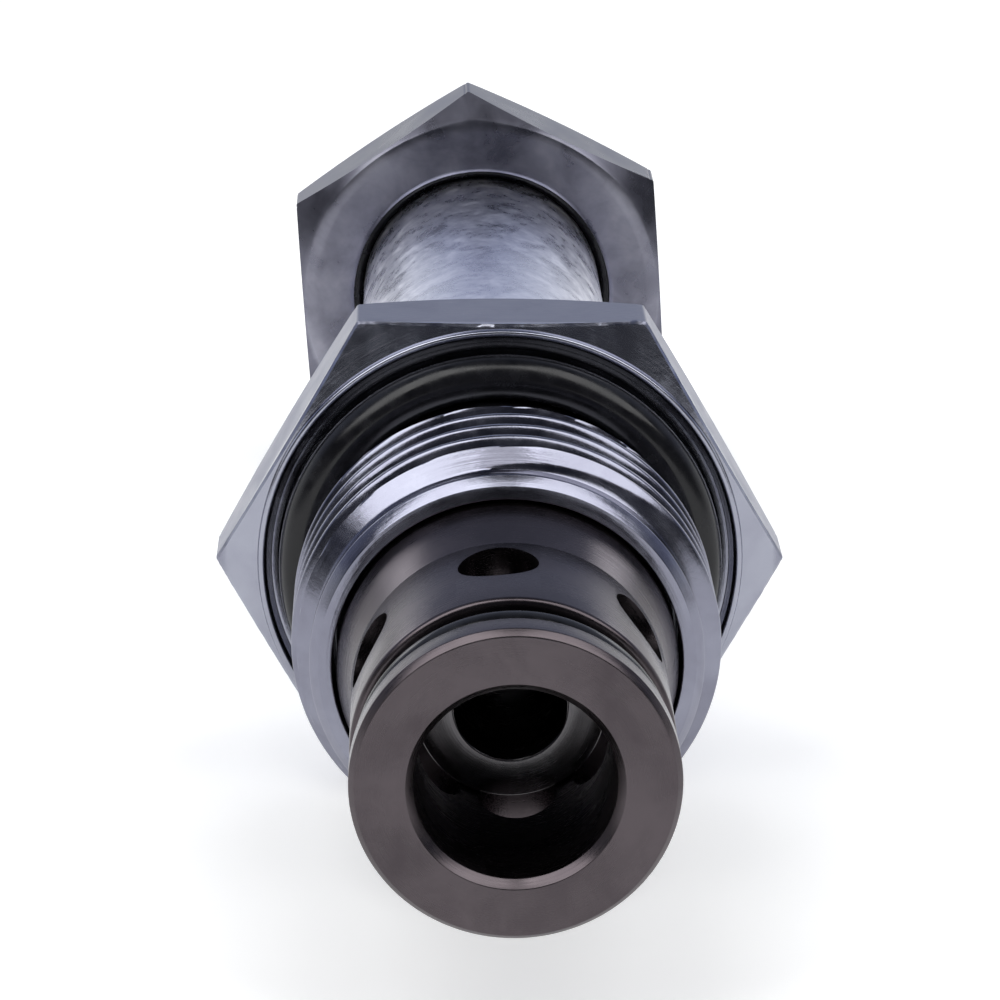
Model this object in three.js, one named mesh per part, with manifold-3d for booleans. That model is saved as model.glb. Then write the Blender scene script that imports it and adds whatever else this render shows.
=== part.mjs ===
// A screw-in solenoid cartridge valve, size 10, normally open, without its coil.
// Millimetres, +Z up. The valve lies along Y with its nose towards -Y, and the
// origin is on its axis, halfway between the nose face and the end of the plug.
import * as THREE from 'three';
import { mergeVertices } from 'three/addons/utils/BufferGeometryUtils.js';
import Module from 'manifold-3d';

const manifoldLibrary = await Module();
manifoldLibrary.setup();
const { Manifold, Mesh: ManifoldMesh } = manifoldLibrary;

// ---- resolution ----
const FACETS = 32; // flats round a turned piece
const RING_FACETS = 6; // flats round the section of a seal or a wire
const RINGS_PER_PITCH = 5; // rings of points along each pitch of a thread
const WIRE_STEPS_PER_TURN = 12; // steps along one coil of the spring
const MERGE_TOLERANCE = 1e-4; // points closer than this are one point
const CUT_OVERSHOOT = 1; // how far a cutting shape runs past the face it cuts

// ---- clearances ----
const SLIDE_GAP = 0.1; // radial, round a piece that slides in a bore
const FIXED_GAP = 0.06; // radial, round a piece that is pressed or staked in place
const SEAT_GAP = 0.15; // axial, between faces that bear on each other
const SEAL_GAP = 0.05; // between a seal and the gland it lies in
const TURN_GAP = 0.16; // radial, between the coil nut and the stub it screws on

// ---- cage: stations are distances from the nose face ----
const CAGE_RADIUS = 7.94;
const CAGE_LAND_RADIUS = 8.735;
const CAGE_BORE_RADIUS = 4.85;
const CAGE_CONE_START = 12.4;
const CAGE_CONE_LENGTH = 3.3;
const CAGE_LENGTH = 24.1;
const NOSE_CHAMFER = 0.35;
const NOSE_BORE_CHAMFER = 0.4;
const NOSE_GLAND_START = 1.85;
const NOSE_GLAND_WIDTH = 2.5;
const NOSE_RING_SECTION = 0.89; // radius of the seal's round section
const NOSE_RING_BELOW = 0.18; // how far the seal lies below the cage's outside
const PORT_COUNT = 6;
const PORT_RADIUS = 2.0;
const PORT_STATION = 9.7;
const PORT_TURN = THREE.MathUtils.degToRad(-5);

// ---- wire ring that holds the cage in the body ----
const LOCK_WIRE_RADIUS = 0.4;
const LOCK_STATION = 21.3;

// ---- valve body ----
const BODY_START = 16.0;
const BODY_MOUTH_GAP = 0.215; // radial, round the cage's land
const SHANK_FACE_RADIUS = 9.65;
const SHANK_LEAD_RADIUS = 10.1;
const SHANK_CHAMFER = 0.5;
const THREAD_START = 17.4;
const THREAD_END = 25.5;
const THREAD_RADIUS = 11.11;
const THREAD_DEPTH = 1.11;
const THREAD_PITCH = 1.814;
const THREAD_FLAT_SHARE = 0.15; // share of the half pitch that is flat at crest and root
const UNDERCUT_RADIUS = 9.6;
const HEX_START = 31.8;
const HEX_THICKNESS = 5.2;
const HEX_FLATS = 27.0;
const RIM_RADIUS = 13.2;
const RIM_HEIGHT = 0.3;
const RECESS_RADIUS = 12.55;
const RECESS_DEPTH = 0.4;
const BODY_RING_SECTION = 1.23;
const CHAMFER_SLOPE = Math.tan(THREE.MathUtils.degToRad(30));

// ---- spool, its spring and the spring's seat ----
const SPOOL_STROKE = 3.0;
const SPOOL_START = 10.3;
const SPOOL_BORE_RADIUS = 2.8;
const SPOOL_NECK_STEP = 1.15;
const SPOOL_GROOVE_DEPTH = 0.3;
const SPOOL_GROOVE_WIDTH = 0.4;
const SPOOL_GROOVES = [14.5, 17.5, 20.5];
const SPOOL_FLOOR = 4.2; // solid end behind the spool's bore
const BLEED_RADIUS = 0.8;
const SPRING_WIRE_RADIUS = 0.45;
const SPRING_LENGTH = 7.0;
const SPRING_END_TURNS = 1;
const SPRING_WORKING_TURNS = 2;
const WASHER_THICKNESS = 0.7;
const CLIP_THICKNESS = 0.6;
const CLIP_GROOVE_DEPTH = 0.6;
const CLIP_WIDTH = 1.3;
const CLIP_MOUTH = THREE.MathUtils.degToRad(70);
const SPOOL_TAIL = 0.6;
const CHAMBER_GAP = 0.6;

// ---- pole, armature and guide tube ----
const TUBE_RADIUS = 7.94;
const TUBE_WALL = 0.74;
const TUBE_SOCKET_DEPTH = 2.4;
const COIL_LENGTH = 48.0; // bare tube between the hexagon and the coil nut
const POLE_LENGTH = 23.5;
const POLE_SHOULDER_WIDTH = 0.69; // how much of the pole's rim bears on the body
const ROD_RADIUS = 1.55;
const ROD_SOCKET_DEPTH = 4.0;
const SHIM_THICKNESS = 0.3;
const SHIM_RADIUS = 4.6;
const ARMATURE_GAP = 0.25;
const ARMATURE_END_PLAY = 0.3;
const ARMATURE_LENGTH = 18.0;
const ARMATURE_POCKET_DEPTH = 5.0;
const VENT_RADIUS = 0.9;
const VENT_WALL = 0.95; // metal left between a vent and the band's groove
const BAND_WIDTH = 2.4;
const BAND_THICKNESS = 0.4;
const BAND_SETBACK = 3.0;

// ---- end plug, manual override and coil nut ----
const PLUG_PAST_NUT = 1.5;
const STUB_PITCH = 1.411;
const STUB_DEPTH = 0.8;
const STUB_LEAD = 0.5;
const OVERRIDE_STROKE = 3.2;
const OVERRIDE_NOSE_RADIUS = 1.45;
const OVERRIDE_RADIUS = 2.9;
const OVERRIDE_LENGTH = 3.6;
const OVERRIDE_RING_SECTION = 0.5;
const OVERRIDE_CLIP_SETBACK = 1.0;
const NUT_FLATS = 24.0;
const NUT_THICKNESS = 5.1;
const NUT_TURN = THREE.MathUtils.degToRad(-4);
const NUT_CHAMFER_RADIUS = 11.8;
const NUT_RING_SECTION = 0.65;
const NUT_LIP = 0.45;
const NUT_LIP_GAP = 0.6;
const BASE_RING_SECTION = 0.65;

// ---- stations worked out from the sizes above ----
const HEX_END = HEX_START + HEX_THICKNESS;
const SOCKET_START = HEX_END - TUBE_SOCKET_DEPTH;
const TUBE_START = SOCKET_START + SEAT_GAP;
const TUBE_BORE_RADIUS = TUBE_RADIUS - TUBE_WALL;
const CORE_RADIUS = TUBE_BORE_RADIUS - FIXED_GAP;
const POLE_END = TUBE_START + POLE_LENGTH;
const POLE_SHOULDER_RADIUS = CORE_RADIUS - POLE_SHOULDER_WIDTH;
const BASE_GLAND_START = HEX_END - 2 * BASE_RING_SECTION - SEAL_GAP - SEAT_GAP;
const SPRING_START = CAGE_LENGTH + SEAT_GAP;
const SPRING_RADIUS = CAGE_BORE_RADIUS + SLIDE_GAP + SPRING_WIRE_RADIUS;
const WASHER_START = SPRING_START + SPRING_LENGTH + SEAT_GAP;
const CLIP_START = WASHER_START + WASHER_THICKNESS + SEAT_GAP;
const SPOOL_END = CLIP_START + CLIP_THICKNESS + SPOOL_TAIL;
const POLE_SHOULDER_START = SPOOL_END + SEAT_GAP;
const SPOOL_RADIUS = CAGE_BORE_RADIUS - SLIDE_GAP;
const SPOOL_NECK_RADIUS = SPOOL_RADIUS - SPOOL_NECK_STEP;
const CHAMBER_RADIUS = SPRING_RADIUS + SPRING_WIRE_RADIUS + CHAMBER_GAP;
const SHIM_START = POLE_END + SPOOL_STROKE + SEAT_GAP;
const ARMATURE_START = SHIM_START + SHIM_THICKNESS + SEAT_GAP;
const ARMATURE_END = ARMATURE_START + ARMATURE_LENGTH;
const ARMATURE_RADIUS = TUBE_BORE_RADIUS - ARMATURE_GAP;
const NUT_START = HEX_END + COIL_LENGTH;
const NUT_END = NUT_START + NUT_THICKNESS;
const NUT_GLAND_START = NUT_START + NUT_LIP;
const NUT_GLAND_END = NUT_GLAND_START + 2 * (NUT_RING_SECTION + SEAT_GAP);
const TUBE_END = NUT_GLAND_END;
const PLUG_START = ARMATURE_END + ARMATURE_END_PLAY;
const STUB_START = TUBE_END + SEAT_GAP;
const PLUG_END = NUT_END + PLUG_PAST_NUT;
const OVERRIDE_CLIP_START = PLUG_END - OVERRIDE_CLIP_SETBACK - CLIP_THICKNESS;
const OVERRIDE_END = OVERRIDE_CLIP_START - SEAT_GAP;
const OVERRIDE_START = OVERRIDE_END - OVERRIDE_LENGTH;
const OVERRIDE_CHAMBER_START = OVERRIDE_START - OVERRIDE_STROKE - SEAT_GAP;

// ---- finishes ----
const finish = (name, color, roughness, metalness) =>
  new THREE.MeshStandardMaterial({ name, color, roughness, metalness });
const FINISHES = {
  turnedSteel: () => finish('turned_steel', 0x8f8a8c, 0.38, 0.9),
  zincPlate: () => finish('zinc_plate', 0xb4b8c6, 0.3, 0.95),
  nutPlate: () => finish('nut_plate', 0x8b8d9c, 0.42, 0.9),
  tubeSteel: () => finish('tube_steel', 0xc2c2cc, 0.28, 0.95),
  magnetSteel: () => finish('magnet_steel', 0x8a8d92, 0.4, 0.9),
  springSteel: () => finish('spring_steel', 0x6e7178, 0.35, 0.95),
  rubber: () => finish('rubber', 0x121214, 0.45, 0.0),
  bearingPlastic: () => finish('bearing_plastic', 0xd9d4c4, 0.6, 0.0),
  brass: () => finish('brass', 0xc9a45c, 0.35, 0.9),
};

// ---- geometry helpers ----

// Turns a profile of [radius, station] pairs about the valve's axis.
function turned(profile) {
  const points = profile.map(([radius, station]) => new THREE.Vector2(radius, station));
  return new THREE.LatheGeometry(points, FACETS);
}

// Turns a closed ring: the profile is joined back to its first point.
function turnedRing(profile) {
  return turned([...profile, profile[0]]);
}

// A ring of round section, such as an O-ring or a wire ring.
function roundRing(ringRadius, sectionRadius, station) {
  const profile = [];
  for (let i = 0; i <= RING_FACETS; i += 1) {
    const angle = -(2 * Math.PI * i) / RING_FACETS;
    profile.push([
      ringRadius + sectionRadius * Math.cos(angle),
      station - sectionRadius * Math.sin(angle),
    ]);
  }
  profile[RING_FACETS] = profile[0];
  return turned(profile);
}

// A plain cylinder about the axis between two stations.
function disc(radius, start, end) {
  return turned([[0, start], [radius, start], [radius, end], [0, end]]);
}

function weld(geometry) {
  const bare = geometry.clone();
  bare.deleteAttribute('normal');
  bare.deleteAttribute('uv');
  return mergeVertices(bare, MERGE_TOLERANCE);
}

function solidOf(geometry) {
  const welded = weld(geometry);
  const vertProperties = new Float32Array(welded.attributes.position.array);
  const indices = [];
  const index = welded.index.array;
  for (let i = 0; i < index.length; i += 3) {
    const [a, b, c] = [index[i], index[i + 1], index[i + 2]];
    if (a !== b && b !== c && c !== a) indices.push(a, b, c);
  }
  const triVerts = new Uint32Array(indices);
  return new Manifold(new ManifoldMesh({ numProp: 3, vertProperties, triVerts }));
}

function geometryOf(solid) {
  const mesh = solid.getMesh();
  const geometry = new THREE.BufferGeometry();
  const position = new Float32Array(mesh.vertProperties);
  geometry.setAttribute('position', new THREE.BufferAttribute(position, 3));
  geometry.setIndex(new THREE.BufferAttribute(new Uint32Array(mesh.triVerts), 1));
  geometry.computeVertexNormals();
  return geometry;
}

// A hexagonal prism between two stations, with a corner at the top before it is turned.
function hexagonPrism(acrossFlats, start, end, turn) {
  const cornerRadius = acrossFlats / Math.sqrt(3);
  const prism = new THREE.CylinderGeometry(cornerRadius, cornerRadius, end - start, 6);
  prism.rotateY(turn);
  prism.translate(0, (start + end) / 2, 0);
  return solidOf(prism);
}

// A radial drilling: a cylinder that starts on the axis and points up before it is turned.
function radialDrill(radius, reach, station, turn) {
  const drill = new THREE.CylinderGeometry(radius, radius, reach, FACETS / 2);
  drill.rotateX(Math.PI / 2);
  drill.translate(0, station, reach / 2);
  drill.rotateY(turn);
  return solidOf(drill);
}

// An axial drilling away from the axis, at a distance and an angle from the top.
function axialDrill(radius, start, end, distance, turn) {
  const drill = new THREE.CylinderGeometry(radius, radius, end - start, FACETS / 4);
  drill.translate(0, (start + end) / 2, distance);
  drill.rotateY(turn);
  return solidOf(drill);
}

// Shapes the side of a turned blank into a right-hand thread. The blank's rings between
// start and end take the lower of its own radius and the thread's.
function cutThread(blank, start, end, majorRadius, depth, pitch) {
  const position = blank.attributes.position;
  for (let i = 0; i < position.count; i += 1) {
    const [x, y, z] = [position.getX(i), position.getY(i), position.getZ(i)];
    const radius = Math.hypot(x, z);
    if (radius > 0 && y > start && y < end) {
      const turns = y / pitch - Math.atan2(x, z) / (2 * Math.PI);
      const fromCrest = 2 * Math.abs(turns - Math.round(turns));
      const slope = (fromCrest - THREAD_FLAT_SHARE) / (1 - 2 * THREAD_FLAT_SHARE);
      const fall = Math.min(1, Math.max(0, slope));
      const scale = Math.min(radius, majorRadius - depth * fall) / radius;
      position.setX(i, x * scale);
      position.setZ(i, z * scale);
    }
  }
  return blank;
}

// Rings of points from one station to another, fine enough to carry a thread.
function threadRings(start, end, pitch, radiusAt) {
  const count = Math.ceil(((end - start) * RINGS_PER_PITCH) / pitch);
  const rings = [];
  for (let i = 0; i <= count; i += 1) {
    const station = start + ((end - start) * i) / count;
    rings.push([radiusAt(station), station]);
  }
  return rings;
}

// An open ring stamped from sheet, like a retaining ring, with its mouth at the top.
function openRing(innerRadius, outerRadius, station, thickness) {
  const shape = new THREE.Shape();
  const from = Math.PI / 2 + CLIP_MOUTH / 2;
  const to = Math.PI / 2 - CLIP_MOUTH / 2 + 2 * Math.PI;
  shape.absarc(0, 0, outerRadius, from, to, false);
  shape.absarc(0, 0, innerRadius, to, from, true);
  const settings = { depth: thickness, bevelEnabled: false, curveSegments: FACETS / 2 };
  const ring = new THREE.ExtrudeGeometry(shape, settings);
  ring.rotateX(Math.PI / 2);
  ring.translate(0, station + thickness, 0);
  return ring;
}

// ---- pieces ----

function nodeMesh(name, geometry, material) {
  const mesh = new THREE.Mesh(geometry, material);
  mesh.name = name;
  return mesh;
}

function noseGlandFloor() {
  return CAGE_RADIUS - NOSE_RING_BELOW - 2 * NOSE_RING_SECTION - SEAL_GAP;
}

// The turned sleeve that carries the ports and guides the spool.
function makeCage() {
  const glandFloor = noseGlandFloor();
  const glandEnd = NOSE_GLAND_START + NOSE_GLAND_WIDTH;
  const grooveRadius = CAGE_LAND_RADIUS + BODY_MOUTH_GAP / 2 - LOCK_WIRE_RADIUS - SEAL_GAP;
  const grooveHalf = LOCK_WIRE_RADIUS + SEAL_GAP;
  const blank = turnedRing([
    [CAGE_BORE_RADIUS, NOSE_BORE_CHAMFER],
    [CAGE_BORE_RADIUS + NOSE_BORE_CHAMFER, 0],
    [CAGE_RADIUS - NOSE_CHAMFER, 0],
    [CAGE_RADIUS, NOSE_CHAMFER],
    [CAGE_RADIUS, NOSE_GLAND_START],
    [glandFloor, NOSE_GLAND_START],
    [glandFloor, glandEnd],
    [CAGE_RADIUS, glandEnd],
    [CAGE_RADIUS, CAGE_CONE_START],
    [CAGE_LAND_RADIUS, CAGE_CONE_START + CAGE_CONE_LENGTH],
    [CAGE_LAND_RADIUS, LOCK_STATION - grooveHalf],
    [grooveRadius, LOCK_STATION - grooveHalf],
    [grooveRadius, LOCK_STATION + grooveHalf],
    [CAGE_LAND_RADIUS, LOCK_STATION + grooveHalf],
    [CAGE_LAND_RADIUS, CAGE_LENGTH],
    [CAGE_BORE_RADIUS, CAGE_LENGTH],
  ]);
  let cage = solidOf(blank);
  for (let i = 0; i < PORT_COUNT; i += 1) {
    const turn = PORT_TURN + (2 * Math.PI * i) / PORT_COUNT;
    cage = cage.subtract(radialDrill(PORT_RADIUS, 2 * CAGE_RADIUS, PORT_STATION, turn));
  }
  return nodeMesh('cage', geometryOf(cage), FINISHES.turnedSteel());
}

function makeNoseRing() {
  const ringRadius = CAGE_RADIUS - NOSE_RING_BELOW - NOSE_RING_SECTION;
  const station = NOSE_GLAND_START + NOSE_GLAND_WIDTH / 2;
  const geometry = roundRing(ringRadius, NOSE_RING_SECTION, station);
  return nodeMesh('nose_o_ring', geometry, FINISHES.rubber());
}

// A wire ring lying half in the cage and half in the body.
function makeLockRing() {
  const ringRadius = CAGE_LAND_RADIUS + BODY_MOUTH_GAP / 2;
  const geometry = roundRing(ringRadius, LOCK_WIRE_RADIUS, LOCK_STATION);
  return nodeMesh('cage_lock_ring', geometry, FINISHES.springSteel());
}

// The blank's radius along the threaded shank, lead and run-out included.
function shankRadius(station) {
  const run = station - THREAD_START;
  const runOut = THREAD_END + THREAD_DEPTH - station;
  const lead = SHANK_LEAD_RADIUS + Math.max(0, run);
  const tail = UNDERCUT_RADIUS + Math.max(0, runOut);
  return Math.min(THREAD_RADIUS, lead, tail);
}

function makeShank() {
  const rings = threadRings(
    BODY_START + SHANK_CHAMFER, THREAD_END + THREAD_DEPTH, THREAD_PITCH, shankRadius);
  const blank = turned([
    [0, BODY_START],
    [SHANK_FACE_RADIUS, BODY_START],
    ...rings,
    [UNDERCUT_RADIUS, HEX_START + RECESS_DEPTH + SEAT_GAP],
    [0, HEX_START + RECESS_DEPTH + SEAT_GAP],
  ]);
  const end = THREAD_END + THREAD_DEPTH;
  const major = THREAD_RADIUS;
  return solidOf(cutThread(blank, THREAD_START, end, major, THREAD_DEPTH, THREAD_PITCH));
}

function makeHexagonHead() {
  const head = hexagonPrism(HEX_FLATS, HEX_START, HEX_END, Math.PI / 6);
  const corner = HEX_FLATS / Math.sqrt(3);
  const flat = HEX_FLATS / 2;
  const outside = corner + CUT_OVERSHOOT;
  const envelope = turned([
    [0, HEX_START - RIM_HEIGHT],
    [outside, HEX_START - RIM_HEIGHT],
    [outside, HEX_END - (outside - flat) * CHAMFER_SLOPE],
    [flat, HEX_END],
    [0, HEX_END],
  ]);
  const rim = disc(RIM_RADIUS, HEX_START - RIM_HEIGHT, HEX_START + RIM_HEIGHT);
  return head.intersect(solidOf(envelope)).add(solidOf(rim));
}

// The hollow inside the body: the cage's seat, the spring chamber, the shoulder that the
// pole bears on, the tube's socket and the gland of the seal round the tube's foot.
function makeBodyBore() {
  const seatRadius = CAGE_LAND_RADIUS + BODY_MOUTH_GAP;
  const seatEnd = CAGE_LENGTH + SEAT_GAP;
  const grooveHalf = LOCK_WIRE_RADIUS + SEAL_GAP;
  const grooveRadius = CAGE_LAND_RADIUS + BODY_MOUTH_GAP / 2 + LOCK_WIRE_RADIUS + SEAL_GAP;
  const socketRadius = TUBE_RADIUS + FIXED_GAP;
  return solidOf(turned([
    [0, BODY_START - CUT_OVERSHOOT],
    [seatRadius, BODY_START - CUT_OVERSHOOT],
    [seatRadius, LOCK_STATION - grooveHalf],
    [grooveRadius, LOCK_STATION - grooveHalf],
    [grooveRadius, LOCK_STATION + grooveHalf],
    [seatRadius, LOCK_STATION + grooveHalf],
    [seatRadius, seatEnd],
    [CHAMBER_RADIUS, seatEnd],
    [CHAMBER_RADIUS, POLE_SHOULDER_START],
    [POLE_SHOULDER_RADIUS, POLE_SHOULDER_START],
    [POLE_SHOULDER_RADIUS, SOCKET_START],
    [socketRadius, SOCKET_START],
    [socketRadius, BASE_GLAND_START],
    [baseGlandRadius(), BASE_GLAND_START],
    [baseGlandRadius(), HEX_END + CUT_OVERSHOOT],
    [0, HEX_END + CUT_OVERSHOOT],
  ]));
}

// The threaded and hexagonal body that screws into the cavity.
function makeValveBody() {
  const front = HEX_START - RIM_HEIGHT - CUT_OVERSHOOT;
  const recess = disc(RECESS_RADIUS, front, HEX_START + RECESS_DEPTH);
  const head = makeHexagonHead().subtract(solidOf(recess));
  const body = head.add(makeShank()).subtract(makeBodyBore());
  return nodeMesh('valve_body', geometryOf(body), FINISHES.zincPlate());
}

function makeBodyRing() {
  const ringRadius = UNDERCUT_RADIUS + SEAL_GAP + BODY_RING_SECTION;
  const station = HEX_START + RECESS_DEPTH - SEAL_GAP - BODY_RING_SECTION;
  const geometry = roundRing(ringRadius, BODY_RING_SECTION, station);
  return nodeMesh('body_o_ring', geometry, FINISHES.rubber());
}

// The hollow spool. Its front edge shuts the ports when it moves towards the nose.
function makeSpool() {
  const profile = [[SPOOL_BORE_RADIUS, SPOOL_START], [SPOOL_RADIUS, SPOOL_START]];
  for (const groove of SPOOL_GROOVES) {
    profile.push([SPOOL_RADIUS, groove]);
    profile.push([SPOOL_RADIUS - SPOOL_GROOVE_DEPTH, groove]);
    profile.push([SPOOL_RADIUS - SPOOL_GROOVE_DEPTH, groove + SPOOL_GROOVE_WIDTH]);
    profile.push([SPOOL_RADIUS, groove + SPOOL_GROOVE_WIDTH]);
  }
  const clipEnd = CLIP_START + CLIP_THICKNESS + SEAT_GAP;
  const clipFloor = SPOOL_NECK_RADIUS - CLIP_GROOVE_DEPTH;
  const boreEnd = SPOOL_END - SPOOL_FLOOR;
  profile.push([SPOOL_RADIUS, CAGE_LENGTH]);
  profile.push([SPOOL_NECK_RADIUS, CAGE_LENGTH]);
  profile.push([SPOOL_NECK_RADIUS, CLIP_START - SEAT_GAP]);
  profile.push([clipFloor, CLIP_START - SEAT_GAP]);
  profile.push([clipFloor, clipEnd]);
  profile.push([SPOOL_NECK_RADIUS, clipEnd]);
  profile.push([SPOOL_NECK_RADIUS, SPOOL_END]);
  profile.push([0, SPOOL_END]);
  profile.push([0, boreEnd]);
  profile.push([SPOOL_BORE_RADIUS, boreEnd - SPOOL_BORE_RADIUS * CHAMFER_SLOPE]);
  const bleedStation = (CAGE_LENGTH + boreEnd) / 2;
  const bleedReach = SPOOL_RADIUS + CUT_OVERSHOOT;
  let spool = solidOf(turnedRing(profile));
  for (const turn of [Math.PI / 2, -Math.PI / 2]) {
    spool = spool.subtract(radialDrill(BLEED_RADIUS, bleedReach, bleedStation, turn));
  }
  return nodeMesh('spool', geometryOf(spool), FINISHES.magnetSteel());
}

// The path of the spring's wire, with a closed coil at each end.
class SpringPath extends THREE.Curve {
  getPoint(t, target = new THREE.Vector3()) {
    const turns = SPRING_WORKING_TURNS + 2 * SPRING_END_TURNS;
    const turn = t * turns;
    const closedPitch = 2 * SPRING_WIRE_RADIUS + SEAL_GAP;
    const closed = closedPitch * SPRING_END_TURNS;
    const free = SPRING_LENGTH - 2 * SPRING_WIRE_RADIUS;
    const openPitch = (free - 2 * closed) / SPRING_WORKING_TURNS;
    const opened = THREE.MathUtils.clamp(turn - SPRING_END_TURNS, 0, SPRING_WORKING_TURNS);
    const rise = opened * openPitch + (turn - opened) * closedPitch;
    const station = SPRING_START + SPRING_WIRE_RADIUS + rise;
    const angle = 2 * Math.PI * turn;
    return target.set(
      SPRING_RADIUS * Math.sin(angle), station, SPRING_RADIUS * Math.cos(angle));
  }
}

function makeSpring() {
  const section = new THREE.Shape();
  section.absarc(0, 0, SPRING_WIRE_RADIUS, 0, 2 * Math.PI, false);
  const turns = SPRING_WORKING_TURNS + 2 * SPRING_END_TURNS;
  const geometry = new THREE.ExtrudeGeometry(section, {
    extrudePath: new SpringPath(),
    steps: turns * WIRE_STEPS_PER_TURN,
    curveSegments: RING_FACETS,
    bevelEnabled: false,
  });
  return nodeMesh('spool_spring', geometry, FINISHES.springSteel());
}

function makeSpringWasher() {
  const inner = SPOOL_NECK_RADIUS + SLIDE_GAP;
  const outer = SPRING_RADIUS + SPRING_WIRE_RADIUS;
  const end = WASHER_START + WASHER_THICKNESS;
  const geometry = turnedRing([
    [inner, WASHER_START], [outer, WASHER_START], [outer, end], [inner, end],
  ]);
  return nodeMesh('spring_washer', geometry, FINISHES.magnetSteel());
}

function makeSpoolClip() {
  const inner = SPOOL_NECK_RADIUS - CLIP_GROOVE_DEPTH + SEAL_GAP;
  const geometry = openRing(inner, inner + CLIP_WIDTH, CLIP_START, CLIP_THICKNESS);
  return nodeMesh('spool_clip', geometry, FINISHES.springSteel());
}

// The fixed magnetic core at the hexagon's end of the tube.
function makePolePiece() {
  const bore = ROD_RADIUS + SLIDE_GAP;
  const geometry = turnedRing([
    [bore, TUBE_START], [CORE_RADIUS, TUBE_START], [CORE_RADIUS, POLE_END], [bore, POLE_END],
  ]);
  return nodeMesh('pole_piece', geometry, FINISHES.magnetSteel());
}

function makePushRod() {
  const end = ARMATURE_START + ROD_SOCKET_DEPTH - SEAT_GAP;
  const geometry = disc(ROD_RADIUS, SPOOL_END + SEAT_GAP, end);
  return nodeMesh('push_rod', geometry, FINISHES.tubeSteel());
}

// The thin non-magnetic washer that keeps the armature from sticking to the pole.
function makeShim() {
  const inner = ROD_RADIUS + FIXED_GAP;
  const end = SHIM_START + SHIM_THICKNESS;
  const geometry = turnedRing([
    [inner, SHIM_START], [SHIM_RADIUS, SHIM_START], [SHIM_RADIUS, end], [inner, end],
  ]);
  return nodeMesh('armature_shim', geometry, FINISHES.brass());
}

function bandStations() {
  const end = ARMATURE_END - BAND_SETBACK;
  return [end - BAND_WIDTH, end];
}

// The moving core. Two drillings let the oil pass as it moves.
function makeArmature() {
  const [bandStart, bandEnd] = bandStations();
  const grooveRadius = ARMATURE_RADIUS - BAND_THICKNESS;
  const pocketRadius = OVERRIDE_NOSE_RADIUS + SLIDE_GAP + SEAT_GAP;
  const rodRadius = ROD_RADIUS + FIXED_GAP;
  const blank = turned([
    [0, ARMATURE_START + ROD_SOCKET_DEPTH],
    [rodRadius, ARMATURE_START + ROD_SOCKET_DEPTH],
    [rodRadius, ARMATURE_START],
    [ARMATURE_RADIUS, ARMATURE_START],
    [ARMATURE_RADIUS, bandStart - SEAL_GAP],
    [grooveRadius, bandStart - SEAL_GAP],
    [grooveRadius, bandEnd + SEAL_GAP],
    [ARMATURE_RADIUS, bandEnd + SEAL_GAP],
    [ARMATURE_RADIUS, ARMATURE_END],
    [pocketRadius, ARMATURE_END],
    [pocketRadius, ARMATURE_END - ARMATURE_POCKET_DEPTH],
    [0, ARMATURE_END - ARMATURE_POCKET_DEPTH],
  ]);
  let armature = solidOf(blank);
  const ventCircle = grooveRadius - VENT_WALL - VENT_RADIUS;
  const ventStart = ARMATURE_START - CUT_OVERSHOOT;
  const ventEnd = ARMATURE_END + CUT_OVERSHOOT;
  for (const turn of [Math.PI / 2, -Math.PI / 2]) {
    const vent = axialDrill(VENT_RADIUS, ventStart, ventEnd, ventCircle, turn);
    armature = armature.subtract(vent);
  }
  return nodeMesh('armature', geometryOf(armature), FINISHES.magnetSteel());
}

// The slippery band that the armature runs on.
function makeArmatureBand() {
  const [start, end] = bandStations();
  const inner = ARMATURE_RADIUS - BAND_THICKNESS + SEAL_GAP;
  const outer = TUBE_BORE_RADIUS - SLIDE_GAP;
  const geometry = turnedRing([[inner, start], [outer, start], [outer, end], [inner, end]]);
  return nodeMesh('armature_band', geometry, FINISHES.bearingPlastic());
}

function makeGuideTube() {
  const geometry = turnedRing([
    [TUBE_BORE_RADIUS, TUBE_START],
    [TUBE_RADIUS, TUBE_START],
    [TUBE_RADIUS, TUBE_END],
    [TUBE_BORE_RADIUS, TUBE_END],
  ]);
  return nodeMesh('guide_tube', geometry, FINISHES.tubeSteel());
}

// The plug that shuts the tube, with the stub that the coil nut screws on.
function makeEndPlug() {
  const spigotEnd = STUB_START;
  const stubRadius = (station) =>
    Math.min(TUBE_RADIUS, TUBE_RADIUS - STUB_LEAD + (PLUG_END - station));
  const rings = threadRings(spigotEnd, PLUG_END, STUB_PITCH, stubRadius);
  const blank = turned([[0, PLUG_START], [CORE_RADIUS, PLUG_START],
    [CORE_RADIUS, spigotEnd], ...rings, [0, PLUG_END]]);
  cutThread(blank, spigotEnd + STUB_LEAD, PLUG_END, TUBE_RADIUS, STUB_DEPTH, STUB_PITCH);
  const noseHole = OVERRIDE_NOSE_RADIUS + SLIDE_GAP;
  const chamber = OVERRIDE_RADIUS + SLIDE_GAP;
  const clipGroove = chamber + CLIP_GROOVE_DEPTH;
  const bore = turned([
    [0, PLUG_START - CUT_OVERSHOOT],
    [noseHole, PLUG_START - CUT_OVERSHOOT],
    [noseHole, OVERRIDE_CHAMBER_START],
    [chamber, OVERRIDE_CHAMBER_START],
    [chamber, OVERRIDE_CLIP_START - SEAL_GAP],
    [clipGroove, OVERRIDE_CLIP_START - SEAL_GAP],
    [clipGroove, OVERRIDE_CLIP_START + CLIP_THICKNESS + SEAL_GAP],
    [chamber, OVERRIDE_CLIP_START + CLIP_THICKNESS + SEAL_GAP],
    [chamber, PLUG_END + CUT_OVERSHOOT],
    [0, PLUG_END + CUT_OVERSHOOT],
  ]);
  const plug = solidOf(blank).subtract(solidOf(bore));
  return nodeMesh('end_plug', geometryOf(plug), FINISHES.tubeSteel());
}

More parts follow.
